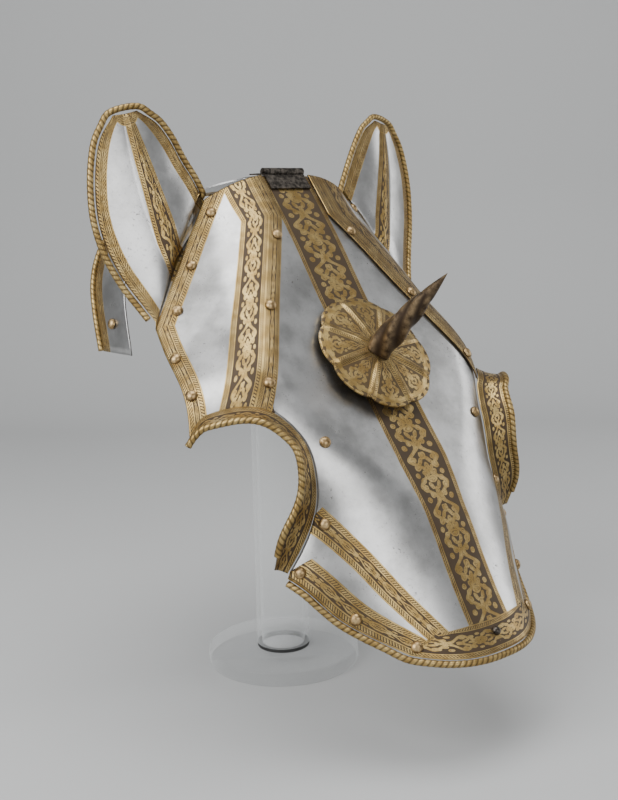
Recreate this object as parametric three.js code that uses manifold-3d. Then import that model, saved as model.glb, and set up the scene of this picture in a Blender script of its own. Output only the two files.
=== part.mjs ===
// Horse head armour (a half-shaffron) on its clear display stand.
// Millimetres, +Z up. The horse looks along -Y, its right side is at -X.
// The origin is the middle of the stand's underside, where the stand meets the table.

import * as THREE from 'three';
import { mergeVertices } from 'three/addons/utils/BufferGeometryUtils.js';
import Module from 'manifold-3d';

// ---------------------------------------------------------------- driving dimensions

const PLATE = 1.2;            // thickness of the armour plates
const GAP = 0.3;              // clearance between two pieces that touch
const ROLL = 2.8;             // radius of the rolled edges
const RIGHT = -1;             // the horse's right side is at -X
const LEFT = 1;

const FACE_LEAN = 40.1;       // degrees that the face line leans back from upright
const BROW = new THREE.Vector3(0, -133, 309);   // middle of the brow, in the rondel's plane

const COLUMN_RADIUS = 25.3;
const COLUMN_WALL = 4.4;
const COLUMN_TOP = 405;
const BASE_RADIUS = 72;
const BASE_HEIGHT = 12.8;

const RONDEL_RADIUS = 55;
const RONDEL_RIBS = 8;
const RONDEL_TURN = 8;          // degrees from the left side to the nearest rib
const SPIKE_LENGTH = 99;
const SPIKE_RADIUS = 11.5;
const RIVET_RADIUS = 4.7;
const RIVET_HEIGHT = 3.4;

const HINGE_RADIUS = 3.4;     // knuckles of the poll hinge
const HINGE_PIN = 1.6;
const HINGE_HALF_WIDTH = 22.5;
const HINGE_KNUCKLES = 5;
const LEAF = 1.2;             // thickness of the hinge leaves

// ---------------------------------------------------------------- materials

const finish = (color, roughness, metalness, opacity = 1) =>
  new THREE.MeshStandardMaterial({ color, roughness, metalness, opacity, transparent: opacity < 1 });

const STEEL = finish(0xb9bcbd, 0.38, 1);
const GILT = finish(0x9a7a3c, 0.45, 1);
const BRASS = finish(0xa88a4e, 0.4, 1);
const BRONZE = finish(0x4b3a2a, 0.5, 1);
const DARK_IRON = finish(0x3c3530, 0.5, 1);
const ACRYLIC = finish(0xe8ecec, 0.05, 0, 0.35);
const BLACK = finish(0x151515, 0.6, 0);

// ---------------------------------------------------------------- closed meshes

// Makes a closed geometry from corner points and triangles, with its faces turned outwards.
function closedGeometry(points, triangles) {
  const raw = new THREE.BufferGeometry();
  raw.setAttribute('position', new THREE.Float32BufferAttribute(points.flatMap((p) => p.toArray()), 3));
  raw.setIndex(triangles.flat());
  const merged = mergeVertices(raw, 1e-4);
  const place = merged.attributes.position;
  const index = merged.index.array;
  const corner = [0, 1, 2].map(() => new THREE.Vector3());
  const kept = [];
  let volume = 0;
  for (let i = 0; i < index.length; i += 3) {
    const [a, b, c] = index.slice(i, i + 3);
    if (a === b || b === c || c === a) continue;
    corner[0].fromBufferAttribute(place, a);
    corner[1].fromBufferAttribute(place, b);
    corner[2].fromBufferAttribute(place, c);
    volume += corner[0].dot(corner[1].cross(corner[2]));
    kept.push(a, b, c);
  }
  if (volume < 0) kept.reverse();
  merged.setIndex(kept);
  return merged;
}

// Joins a loop of points per section into one body, with a flat fan over each end.
function sweep(sections, closedPath = false) {
  const count = sections[0].length;
  const points = sections.flat();
  const triangles = [];
  const last = closedPath ? sections.length : sections.length - 1;
  for (let s = 0; s < last; s++) {
    const here = s * count;
    const next = ((s + 1) % sections.length) * count;
    for (let k = 0; k < count; k++) {
      const m = (k + 1) % count;
      triangles.push([here + k, next + k, next + m], [here + k, next + m, here + m]);
    }
  }
  if (!closedPath) {
    const end = (sections.length - 1) * count;
    for (let k = 1; k < count - 1; k++) triangles.push([0, k, k + 1], [end, end + k + 1, end + k]);
  }
  return closedGeometry(points, triangles);
}

// A wall between two grids of points with the same rows and columns.
function shell(front, back) {
  const rows = front.length;
  const columns = front[0].length;
  const points = [...front.flat(), ...back.flat()];
  const behind = rows * columns;
  const triangles = [];
  const at = (r, c) => r * columns + c;
  for (let r = 0; r < rows - 1; r++) {
    for (let c = 0; c < columns - 1; c++) {
      const [p, q, s, t] = [at(r, c), at(r, c + 1), at(r + 1, c + 1), at(r + 1, c)];
      triangles.push([p, q, s], [p, s, t], [behind + p, behind + s, behind + q]);
      triangles.push([behind + p, behind + t, behind + s]);
    }
  }
  const rim = [];
  for (let c = 0; c < columns - 1; c++) rim.push(at(0, c));
  for (let r = 0; r < rows - 1; r++) rim.push(at(r, columns - 1));
  for (let c = columns - 1; c > 0; c--) rim.push(at(rows - 1, c));
  for (let r = rows - 1; r > 0; r--) rim.push(at(r, 0));
  rim.forEach((p, i) => {
    const q = rim[(i + 1) % rim.length];
    triangles.push([q, p, behind + p], [q, behind + p, behind + q]);
  });
  return closedGeometry(points, triangles);
}

// Moves each point of a grid along the grid's own normal.
function offsetGrid(grid, distance) {
  return grid.map((row, r) => row.map((point, c) => {
    const along = (grid[Math.min(r + 1, grid.length - 1)][c]).clone().sub(grid[Math.max(r - 1, 0)][c]);
    const across = (row[Math.min(c + 1, row.length - 1)]).clone().sub(row[Math.max(c - 1, 0)]);
    return point.clone().addScaledVector(across.cross(along).normalize(), distance);
  }));
}

// A round bar along a path of points.
function bar(path, radius, sides, steps) {
  const curve = new THREE.CatmullRomCurve3(path, false, 'centripetal');
  const ring = new THREE.Shape();
  for (let k = 0; k < sides; k++) {
    const angle = (2 * Math.PI * k) / sides;
    ring[k ? 'lineTo' : 'moveTo'](radius * Math.cos(angle), radius * Math.sin(angle));
  }
  ring.closePath();
  const tube = new THREE.ExtrudeGeometry(ring, { steps, extrudePath: curve });
  tube.deleteAttribute('normal');
  tube.deleteAttribute('uv');
  return mergeVertices(tube, 1e-4);
}

// A turned piece: the profile runs from axis to axis as [radius, height] pairs.
function turned(profile, sides) {
  const lathe = new THREE.LatheGeometry(profile.map(([r, h]) => new THREE.Vector2(r, h)), sides);
  lathe.deleteAttribute('normal');
  lathe.deleteAttribute('uv');
  lathe.rotateX(Math.PI / 2);
  const triangles = [];
  const index = lathe.index.array;
  for (let i = 0; i < index.length; i += 3) triangles.push([index[i], index[i + 1], index[i + 2]]);
  const place = lathe.attributes.position;
  const points = [];
  for (let i = 0; i < place.count; i++) points.push(new THREE.Vector3().fromBufferAttribute(place, i));
  return closedGeometry(points, triangles);
}

const assembly = new THREE.Group();

function add(name, geometry, material, position = null, direction = null) {
  const mesh = new THREE.Mesh(geometry, material);
  mesh.name = name;
  if (direction) mesh.quaternion.setFromUnitVectors(new THREE.Vector3(0, 0, 1), direction);
  if (position) mesh.position.copy(position);
  assembly.add(mesh);
}

const sideName = (side) => (side === RIGHT ? 'right' : 'left');
const mix = THREE.MathUtils.lerp;
const mirror = (point, side) => new THREE.Vector3(side * point.x, point.y, point.z);

// Points spread evenly along a smooth line through the given points.
function along(points, steps) {
  return new THREE.CatmullRomCurve3(points, false, 'centripetal').getPoints(steps);
}

// ---------------------------------------------------------------- the face surface

// Cross-sections of the face, square to the face line: a flat, an arc on each side, then a straight flank.
// down: distance down the face from the brow; rise: height of the flat over the rondel's plane;
// flat: half width of the flat; radius and turn: the arc; turn in degrees.
const SECTIONS = [
  { down: -205, rise: 7.5, flat: 34, radius: 56, turn: 46 },
  { down: -160, rise: 6.0, flat: 28, radius: 82, turn: 45 },
  { down: -120, rise: 4.3, flat: 38, radius: 90, turn: 44 },
  { down: -60, rise: -1.5, flat: 68, radius: 64, turn: 43 },
  { down: 0, rise: -5.5, flat: 95, radius: 46, turn: 42 },
  { down: 60, rise: -9.0, flat: 72, radius: 60, turn: 50 },
  { down: 100, rise: -10.5, flat: 42, radius: 80, turn: 60 },
  { down: 136, rise: -14.5, flat: 18, radius: 120, turn: 62 },
  { down: 160, rise: -18.5, flat: 10, radius: 130, turn: 62 },
  { down: 190, rise: -24.5, flat: 5, radius: 122, turn: 62 },
  { down: 225, rise: -30.0, flat: 5, radius: 108, turn: 62 },
  { down: 265, rise: -33.0, flat: 4, radius: 95, turn: 62 },
];

const lean = THREE.MathUtils.degToRad(FACE_LEAN);
const DOWN = new THREE.Vector3(0, -Math.sin(lean), -Math.cos(lean));
const OUT = new THREE.Vector3(0, -Math.cos(lean), Math.sin(lean));

// The section at any distance down the face: a smooth curve through the table's rows.
const sectionCurve = new THREE.CubicInterpolant(
  SECTIONS.map((row) => row.down),
  SECTIONS.flatMap((row) => [row.rise, row.flat, row.radius, row.turn]),
  4,
);

function surfaceOut(x, down) {
  const [rise, flat, radius, turn] = sectionCurve.evaluate(down);
  const beyond = Math.max(0, Math.abs(x) - flat);
  const steepest = THREE.MathUtils.degToRad(turn);
  const arcWidth = radius * Math.sin(steepest);
  if (beyond < arcWidth) return rise - radius + Math.sqrt(radius * radius - beyond * beyond);
  return rise - radius * (1 - Math.cos(steepest)) - (beyond - arcWidth) * Math.tan(steepest);
}

function faceFrame(x, down, out) {
  return BROW.clone().addScaledVector(DOWN, down).addScaledVector(OUT, out).setX(x);
}

const onFace = (x, down) => faceFrame(x, down, surfaceOut(x, down));

function faceNormal(x, down) {
  const across = onFace(x + 1, down).sub(onFace(x - 1, down));
  const lengthwise = onFace(x, down + 1).sub(onFace(x, down - 1));
  return lengthwise.cross(across).normalize();
}

const offFace = (x, down, proud) => onFace(x, down).addScaledVector(faceNormal(x, down), proud);

// ---------------------------------------------------------------- outlines on the face

// Half outlines as { x, down } points, mirrored for the other side.
const spot = (x, down) => new THREE.Vector3(x, down, 0);

const FACE_TOP = -187;
const MIDDLE_BAND = 26.5;     // half width of the middle band

// Inner edge of the side band, which is the temple plate's riveted edge.
const bandEdge = (down) => Math.max(MIDDLE_BAND, 28 + (down + 140) * 0.52);

// The cut-out over the eye, from the temple's rear corner round to the cheek corner.
const EYE_CUT = [
  spot(166, 19), spot(156, 10), spot(140, 13), spot(127, 20), spot(115, 32), spot(106, 46),
  spot(100, 62), spot(98, 82), spot(99.5, 101), spot(105, 115), spot(113, 127), spot(123, 139),
];
const EYE_CUT_PARTING = 0.345;  // share of the cut-out that lies on the temple plate

const CHEEK_CORNER = spot(124, 142);
const NOSE_CORNER = spot(71, 233);
const NOSE_TIP = 258;
const TEMPLE_CORNER = spot(150, -83);
const TEMPLE_REAR_CORNER = spot(166, 19);
const EAR_EDGE_TOP = spot(79, -178);

const CHEEK_BOW = 4.5;          // how far the cheek's lower edge bows outwards
const RIM_BEND = 2.5;         // how squarely the nose rim turns at its corners

function cheekEdge(share) {
  const edge = CHEEK_CORNER.clone().lerp(NOSE_CORNER, share);
  edge.x += CHEEK_BOW * Math.sin(Math.PI * share);
  return edge;
}

const eyeCurve = new THREE.CatmullRomCurve3(EYE_CUT, false, 'centripetal');

// ---------------------------------------------------------------- face plate

const UNDERLAP = 18;          // how far the face plate runs on under the temple plates
const HALF_COLUMNS = 8;

function facePlateGeometry() {
  const edges = [];
  const upperRows = 10;
  for (let r = 0; r <= upperRows; r++) {
    const down = mix(FACE_TOP, 17, r / upperRows);
    edges.push({ edge: spot(bandEdge(down) + UNDERLAP, down), middle: down });
  }
  const cutRows = 10;
  const start = EYE_CUT_PARTING * 0.99;
  for (let r = 0; r <= cutRows; r++) {
    const edge = eyeCurve.getPointAt(mix(start, 1, r / cutRows));
    edges.push({ edge, middle: mix(28, 150, r / cutRows) });
  }
  const lowerRows = 7;
  for (let r = 0; r <= lowerRows; r++) {
    edges.push({ edge: cheekEdge(r / lowerRows), middle: mix(157, NOSE_TIP, r / lowerRows) });
  }
  const grid = edges.map(({ edge, middle }) => {
    const row = [];
    for (let c = -HALF_COLUMNS; c <= HALF_COLUMNS; c++) {
      const share = Math.abs(c) / HALF_COLUMNS;
      const down = middle + (edge.y - middle) * share ** RIM_BEND;
      row.push([(edge.x * c) / HALF_COLUMNS, down]);
    }
    return row;
  });
  const front = grid.map((row) => row.map(([x, down]) => onFace(x, down)));
  const back = grid.map((row) => row.map(([x, down]) => offFace(x, down, -PLATE)));
  return shell(front, back);
}

add('face_plate', facePlateGeometry(), STEEL);

// ---------------------------------------------------------------- temple plates

const LAP_GAP = 0.9;          // clearance where the faceted plates lap over each other
const TEMPLE_LIFT = PLATE + LAP_GAP;
const TEMPLE_COLUMNS = 7;

function templeRow(side, inner, outer, bend) {
  const row = [];
  for (let c = 0; c <= TEMPLE_COLUMNS; c++) {
    const share = c / TEMPLE_COLUMNS;
    const x = mix(inner.x, outer.x, share);
    const down = mix(inner.y, outer.y, 1 - (1 - share) ** bend);
    row.push([side * x, down]);
  }
  return row;
}

function templePlateGeometry(side) {
  const innerEnd = eyeCurve.getPointAt(EYE_CUT_PARTING);
  const cornerInner = -78;
  const grid = [];
  const upperRows = 8;
  const lowerRows = 8;
  for (let r = 0; r <= upperRows; r++) {
    const down = mix(FACE_TOP, cornerInner, r / upperRows);
    const outer = EAR_EDGE_TOP.clone().lerp(TEMPLE_CORNER, r / upperRows);
    grid.push(templeRow(side, spot(bandEdge(down), down), outer, 1));
  }
  for (let r = 1; r <= lowerRows; r++) {
    const share = r / lowerRows;
    const down = mix(cornerInner, innerEnd.y, share);
    const inner = spot(Math.min(bandEdge(down), innerEnd.x), down);
    const outer = TEMPLE_CORNER.clone().lerp(TEMPLE_REAR_CORNER, share);
    grid.push(templeRow(side, inner, outer, mix(1, 2.4, share ** 2)));
  }
  const front = grid.map((row) => row.map(([x, down]) => offFace(x, down, TEMPLE_LIFT)));
  const back = grid.map((row) => row.map(([x, down]) => offFace(x, down, LAP_GAP)));
  return shell(front, back);
}

for (const side of [RIGHT, LEFT]) {
  add(`temple_plate_${sideName(side)}`, templePlateGeometry(side), STEEL);
}

// ---------------------------------------------------------------- eye flanges

// How the flange stands off the cut-out: share along it, then sideways, down the face and outwards.
const FLANGE_REACH = [
  { share: 0, x: 11, down: 11, out: 9 },
  { share: 0.12, x: 15, down: 17, out: 11 },
  { share: 0.3, x: 20, down: 15, out: 11 },
  { share: 0.45, x: 23, down: 9, out: 12 },
  { share: 0.62, x: 24, down: 1, out: 16 },
  { share: 0.8, x: 23, down: -6, out: 16 },
  { share: 0.93, x: 22, down: -8, out: 11 },
  { share: 1, x: 13, down: -5, out: 3 },
];
const reachCurve = new THREE.CubicInterpolant(
  FLANGE_REACH.map((row) => row.share),
  FLANGE_REACH.flatMap((row) => [row.x, row.down, row.out]),
  3,
);

// One cross-section of the flange: a hollowed strip that ends in a round bead.
function flangeSection(root, rim, beside) {
  const run = rim.clone().sub(root);
  const reach = run.clone().normalize();
  const face = new THREE.Vector3().crossVectors(beside, reach).normalize();
  const hollow = 2.2;
  const half = PLATE / 2;
  const place = (share, lift) => root.clone().addScaledVector(run, share).addScaledVector(face, lift);
  const section = [place(0, half), place(0.45, half - hollow), place(0.8, half - hollow * 0.6)];
  const beadSides = 6;
  for (let k = 0; k <= beadSides; k++) {
    const angle = Math.PI * (0.8 - (1.6 * k) / beadSides);
    const bead = rim.clone().addScaledVector(reach, ROLL * Math.cos(angle));
    section.push(bead.addScaledVector(face, ROLL * Math.sin(angle)));
  }
  section.push(place(0.8, -half - hollow * 0.6), place(0.45, -half - hollow), place(0, -half));
  return section;
}

function flangeGeometry(side) {
  const steps = 20;
  const roots = [];
  const rims = [];
  for (let s = 0; s <= steps; s++) {
    const share = s / steps;
    const cut = eyeCurve.getPointAt(share);
    const [dx, dDown, dOut] = reachCurve.evaluate(share);
    const lift = share < EYE_CUT_PARTING + 0.02 ? LAP_GAP + PLATE / 2 : -PLATE / 2;
    const base = offFace(cut.x, cut.y, lift);
    const reach = DOWN.clone().multiplyScalar(dDown).addScaledVector(OUT, dOut).setX(dx);
    roots.push(base.clone().addScaledVector(reach.clone().normalize(), GAP + 1.4));
    rims.push(base.clone().add(reach));
  }
  const sections = roots.map((root, s) => {
    const beside = roots[Math.min(s + 1, steps)].clone().sub(roots[Math.max(s - 1, 0)]).normalize();
    return flangeSection(root, rims[s], beside).map((point) => mirror(point, side));
  });
  return sweep(sections);
}

for (const side of [RIGHT, LEFT]) add(`eye_flange_${sideName(side)}`, flangeGeometry(side), GILT);

// ---------------------------------------------------------------- roped roll round the cheeks and nose

// A point beside the plate's edge, a given distance out from it, level with the middle of its wall.
function besideEdge(x, down, outward, distance) {
  const edge = offFace(x, down, -PLATE / 2);
  const ahead = offFace(x + outward.x, down + outward.y, -PLATE / 2).sub(edge).normalize();
  return edge.addScaledVector(ahead, distance);
}

function lowerRollGeometry() {
  const reach = ROLL + 2 * GAP;
  const half = [];
  const cheekSteps = 6;
  const outward = spot(NOSE_CORNER.y - CHEEK_CORNER.y, CHEEK_CORNER.x - NOSE_CORNER.x).normalize();
  for (let k = 0; k < cheekSteps; k++) {
    const edge = cheekEdge(0.02 + (0.98 * k) / cheekSteps);
    half.push(besideEdge(edge.x, edge.y, outward, reach));
  }
  const noseSteps = 6;
  for (let k = 0; k <= noseSteps; k++) {
    const share = 1 - k / noseSteps;
    const slope = ((NOSE_TIP - NOSE_CORNER.y) * RIM_BEND * share ** (RIM_BEND - 1)) / NOSE_CORNER.x;
    const down = mix(NOSE_TIP, NOSE_CORNER.y, share ** RIM_BEND);
    half.push(besideEdge(NOSE_CORNER.x * share, down, spot(slope, 1).normalize(), reach));
  }
  const other = half.slice(0, -1).reverse().map((point) => mirror(point, RIGHT));
  return bar([...half, ...other], ROLL, 6, 48);
}

add('lower_roll', lowerRollGeometry(), GILT);

// ---------------------------------------------------------------- ear guards

// Each row runs across the guard at the inner edge, the keel and the outer edge, roll included.
const EAR_ROWS = [
  { inner: [76, -4, 441], keel: [120, -18, 393], outer: [157, -20, 347] },
  { inner: [82, -3, 456], keel: [126, -14, 418], outer: [171, -5, 376] },
  { inner: [92, 0, 473], keel: [132, -9, 446], outer: [182, 4, 413] },
  { inner: [102, 1, 491], keel: [138, -3, 474], outer: [182.5, 8, 453] },
  { inner: [114, 3, 506], keel: [142, 3, 497], outer: [174, 11, 489] },
  { inner: [131, 5, 516], keel: [145, 7, 514], outer: [160, 12, 509] },
];
const EAR_TUCK = [spot(71, -168), spot(108, -120), spot(141, -79)];   // row tucked under the temple plate
const EAR_FOOT = [spot(81, -179.4), spot(117, -132.2), spot(152, -84.4)];   // row just past the temple's edge
const EAR_SINK = 0.7;         // how far the guard's foot lies under the face surface
const EAR_STEPS = 12;
const EAR_ROLL_GAP = 1.5;     // between the guard's faceted edge and its roll
const KEEL_BASE = 0.26;       // half width of the keel's wedge, as a share of the half guard
const KEEL_TIP = 0.2;
const KEEL_HEIGHT = 4.5;

function earPaths() {
  return ['inner', 'keel', 'outer'].map((name, k) => {
    const tuck = offFace(EAR_TUCK[k].x, EAR_TUCK[k].y, -EAR_SINK);
    const foot = offFace(EAR_FOOT[k].x, EAR_FOOT[k].y, -EAR_SINK);
    const rising = [foot, ...EAR_ROWS.map((row) => new THREE.Vector3(...row[name]))];
    return [tuck, ...along(rising, EAR_STEPS - 1)];
  });
}

// Draws an edge in towards the keel, square to the edge, fully so only above the foot.
function drawnIn(edge, keel, distance) {
  return edge.map((point, r) => {
    const next = edge[Math.min(r + 1, EAR_STEPS)];
    const ahead = next.clone().sub(edge[Math.max(r - 1, 0)]).normalize();
    const inward = keel[r].clone().sub(point);
    inward.addScaledVector(ahead, -inward.dot(ahead)).setLength(distance * Math.min(1, r / 2));
    return point.clone().add(inward);
  });
}

function earGeometry(side) {
  const [innerRim, keel, outerRim] = earPaths();
  const inset = 2 * ROLL + EAR_ROLL_GAP;
  const inner = drawnIn(innerRim, keel, inset);
  const outer = drawnIn(outerRim, keel, inset);
  keel[EAR_STEPS].z -= inset;
  const grid = keel.map((ridge, r) => {
    const wedge = mix(KEEL_BASE, KEEL_TIP, r / EAR_STEPS);
    const raised = KEEL_HEIGHT * Math.min(1, Math.max(0, r - 1) / 3) * mix(1, 0.35, r / EAR_STEPS);
    const shares = [0, 0.14, 0.35, 0.58, 1 - wedge - 0.02, 1 - wedge];
    const halfRow = (edge) => shares.map((share) => {
      const point = edge.clone().lerp(ridge, share);
      const bulge = share < 0.14 ? 0 : 3 * Math.sin(Math.PI * share) * (raised / KEEL_HEIGHT);
      point.y -= bulge + (share === shares[5] ? raised * 0.45 : 0);
      return point;
    });
    const top = ridge.clone();
    top.y -= raised;
    return [...halfRow(inner[r]), top, ...halfRow(outer[r]).reverse()];
  });
  const front = grid.map((row) => row.map((point) => mirror(point, side)));
  return shell(front, offsetGrid(front, -side * PLATE));
}

function earRollGeometry(side) {
  const [inner, keel, outer] = earPaths();
  const first = 2;
  const up = drawnIn(inner, keel, ROLL).slice(first);
  const over = drawnIn(outer, keel, ROLL).slice(first).reverse();
  return bar([...up, ...over].map((point) => mirror(point, side)), ROLL, 6, 32);
}

for (const side of [RIGHT, LEFT]) {
  add(`ear_guard_${sideName(side)}`, earGeometry(side), STEEL);
  add(`ear_roll_${sideName(side)}`, earRollGeometry(side), GILT);
}

// ---------------------------------------------------------------- rondel and spike

const RONDEL_STANDOFF = 7.5;  // rim's height over the brow
const RONDEL_DISH = 5;        // how far the middle stands over the rim
const RONDEL_WALL = 1.4;
const BOSS_RADIUS = 9;

function rondelGeometry() {
  const sectors = 48;
  const rings = [BOSS_RADIUS / RONDEL_RADIUS, 0.4, 0.75, 1];
  const browOut = surfaceOut(0, 0);
  const rim = browOut + RONDEL_STANDOFF;
  const point = (share, k, drop) => {
    const angle = (2 * Math.PI * k) / sectors;
    const lobe = Math.abs(Math.sin((RONDEL_RIBS * angle) / 2));
    const radius = RONDEL_RADIUS * share * (1 - 0.06 * (1 - lobe ** 0.7) * share ** 3);
    const rib = lobe < 0.3 ? 1.6 * Math.min(1, 3 * (1 - share) + 0.4) : 0;
    const out = rim + RONDEL_DISH * (1 - share ** 1.6) + (share > 0.2 ? rib : 0) - drop;
    const turn = angle + THREE.MathUtils.degToRad(RONDEL_TURN);
    return faceFrame(radius * Math.cos(turn), -radius * Math.sin(turn), out);
  };
  const points = [];
  const triangles = [];
  const ringStart = [];
  const addRing = (make) => {
    ringStart.push(points.length);
    for (let k = 0; k < sectors; k++) points.push(make(k));
  };
  rings.forEach((share) => addRing((k) => point(share, k, 0)));
  rings.slice().reverse().slice(0, -1).forEach((share) => addRing((k) => point(share, k, RONDEL_WALL)));
  const bossRing = (out) => (k) => {
    const angle = (2 * Math.PI * k) / sectors + THREE.MathUtils.degToRad(RONDEL_TURN);
    return faceFrame(BOSS_RADIUS * Math.cos(angle), -BOSS_RADIUS * Math.sin(angle), out);
  };
  addRing(bossRing(rim + RONDEL_DISH - RONDEL_WALL - 0.8));
  addRing(bossRing(browOut + LAP_GAP));
  for (let r = 0; r < ringStart.length - 1; r++) {
    for (let k = 0; k < sectors; k++) {
      const m = (k + 1) % sectors;
      const [a, b] = [ringStart[r], ringStart[r + 1]];
      triangles.push([a + k, b + k, b + m], [a + k, b + m, a + m]);
    }
  }
  const frontMiddle = points.push(faceFrame(0, 0, rim + RONDEL_DISH)) - 1;
  const backMiddle = points.push(faceFrame(0, 0, browOut + LAP_GAP)) - 1;
  const last = ringStart[ringStart.length - 1];
  for (let k = 0; k < sectors; k++) {
    const m = (k + 1) % sectors;
    triangles.push([frontMiddle, k, m], [backMiddle, last + m, last + k]);
  }
  return closedGeometry(points, triangles);
}

add('rondel', rondelGeometry(), GILT);

// A tapering spike with twisted flutes and a plain point.
function spikeGeometry() {
  const sides = 16;
  const flutes = 4;
  const levels = 16;
  const sections = [];
  for (let s = 0; s <= levels; s++) {
    const share = s / levels;
    const height = SPIKE_LENGTH * share;
    const taper = SPIKE_RADIUS * (1 - 0.5 * share) * (1 - 0.97 * share ** 4);
    const twist = share * Math.PI * 1.6;
    const depth = share < 0.68 ? 0.09 : 0.03;
    const section = [];
    for (let k = 0; k < sides; k++) {
      const angle = (2 * Math.PI * k) / sides;
      const radius = taper * (1 + depth * Math.cos(flutes * (angle + twist)));
      section.push(new THREE.Vector3(radius * Math.cos(angle), radius * Math.sin(angle), height));
    }
    sections.push(section);
  }
  return sweep(sections);
}

const spikeFoot = surfaceOut(0, 0) + RONDEL_STANDOFF + RONDEL_DISH + GAP;
add('brow_spike', spikeGeometry(), BRONZE, faceFrame(0, 0, spikeFoot), OUT);

// ---------------------------------------------------------------- rivets

function rivetGeometry(radius = RIVET_RADIUS) {
  const rings = 3;
  const profile = [[0, 0], [radius, 0]];
  for (let k = 1; k <= rings; k++) {
    const angle = (Math.PI / 2) * (k / rings);
    profile.push([k === rings ? 0 : radius * Math.cos(angle), RIVET_HEIGHT * Math.sin(angle)]);
  }
  return turned(profile, 10);
}

// Rivets on the face, one of each per side; lift is the thickness of the plates under the head.
const RIVETS = [
  { name: 'rivet_band_upper', x: 42, down: -123, lift: TEMPLE_LIFT },
  { name: 'rivet_band_middle', x: 80, down: -57, lift: TEMPLE_LIFT },
  { name: 'rivet_band_lower', x: 112, down: 9, lift: TEMPLE_LIFT },
  { name: 'rivet_brow', x: 86, down: 66, lift: 0 },
  { name: 'rivet_cheek_band', x: 99, down: 120, lift: 0 },
  { name: 'rivet_cheek_corner', x: 118, down: 143, lift: 0 },
  { name: 'rivet_cheek_middle', x: 94, down: 192, lift: 0 },
  { name: 'rivet_nose', x: 65, down: 230, lift: 0 },
  { name: 'rivet_ear_upper', x: 80, down: -163, lift: TEMPLE_LIFT },
  { name: 'rivet_ear_middle', x: 110, down: -122, lift: TEMPLE_LIFT },
  { name: 'rivet_ear_lower', x: 133, down: -88, lift: TEMPLE_LIFT },
  { name: 'rivet_rear_upper', x: 151, down: -47, lift: TEMPLE_LIFT },
  { name: 'rivet_rear_lower', x: 157, down: -9, lift: TEMPLE_LIFT },
];
const RIVET_SEAT = 0.5;       // clearance that lets a flat head sit on the curved plate

for (const side of [RIGHT, LEFT]) {
  for (const { name, x, down, lift } of RIVETS) {
    const seat = offFace(side * x, down, lift + RIVET_SEAT);
    add(`${name}_${sideName(side)}`, rivetGeometry(), BRASS, seat, faceNormal(side * x, down));
  }
}
add('nose_screw', rivetGeometry(3.6), DARK_IRON, offFace(0, 243, RIVET_SEAT), faceNormal(0, 243));

// ---------------------------------------------------------------- poll hinge

const wasm = await Module();
wasm.setup();

function toSolid(geometry) {
  const source = geometry.clone();
  source.deleteAttribute('normal');
  source.deleteAttribute('uv');
  const bare = mergeVertices(source, 1e-4);
  const vertProperties = new Float32Array(bare.attributes.position.array);
  const triVerts = new Uint32Array(bare.index.array);
  return new wasm.Manifold(new wasm.Mesh({ numProp: 3, vertProperties, triVerts }));
}

function fromSolid(solid) {
  const mesh = solid.getMesh();
  const geometry = new THREE.BufferGeometry();
  geometry.setAttribute('position', new THREE.BufferAttribute(new Float32Array(mesh.vertProperties), 3));
  geometry.setIndex(new THREE.BufferAttribute(new Uint32Array(mesh.triVerts), 1));
  return geometry;
}

// The pin lies across the face just past its top edge.
const PIN_CENTRE = faceFrame(0, FACE_TOP - 4.2, surfaceOut(0, FACE_TOP) + 1.2);

function acrossCylinder(radius, length, x, sides) {
  const cylinder = new THREE.CylinderGeometry(radius, radius, length, sides);
  return cylinder.rotateZ(Math.PI / 2).translate(x, PIN_CENTRE.y, PIN_CENTRE.z);
}

// One half of the hinge: a leaf with every other knuckle, bored for the pin.
function hingeHalf(leafBox, first) {
  const pitch = (2 * HINGE_HALF_WIDTH) / HINGE_KNUCKLES;
  let half = toSolid(leafBox);
  for (let k = 0; k < HINGE_KNUCKLES; k++) {
    const x = -HINGE_HALF_WIDTH + pitch * (k + 0.5);
    if (k % 2 === first) continue;
    half = half.subtract(toSolid(acrossCylinder(HINGE_RADIUS + 0.6, pitch + GAP, x, 16)));
  }
  for (let k = first; k < HINGE_KNUCKLES; k += 2) {
    const x = -HINGE_HALF_WIDTH + pitch * (k + 0.5);
    half = half.add(toSolid(acrossCylinder(HINGE_RADIUS, pitch - GAP, x, 16)));
  }
  return fromSolid(half.subtract(toSolid(acrossCylinder(HINGE_PIN + GAP, 3 * HINGE_HALF_WIDTH, 0, 12))));
}

function faceLeafBox() {
  const length = 17;
  const box = new THREE.BoxGeometry(2 * HINGE_HALF_WIDTH, length, LEAF);
  box.rotateX(Math.PI / 2 - lean);
  const out = surfaceOut(0, FACE_TOP) + GAP + LEAF / 2 + 0.1;
  const centre = faceFrame(0, FACE_TOP - 2 + length / 2, out);
  return box.translate(centre.x, centre.y, centre.z);
}

const POLL_CROWN = PIN_CENTRE.z - 3;     // height of the poll plate beside the hinge

function pollLeafBox() {
  const length = 17;
  const box = new THREE.BoxGeometry(2 * HINGE_HALF_WIDTH, length, LEAF);
  return box.translate(0, PIN_CENTRE.y + 2 + length / 2, POLL_CROWN + GAP + 0.3 + LEAF / 2);
}

add('hinge_leaf_face', hingeHalf(faceLeafBox(), 0), DARK_IRON);
add('hinge_leaf_poll', hingeHalf(pollLeafBox(), 1), DARK_IRON);
add('hinge_pin', acrossCylinder(HINGE_PIN, 2 * HINGE_HALF_WIDTH + 3, 0, 12), DARK_IRON);

// ---------------------------------------------------------------- poll plate

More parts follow.
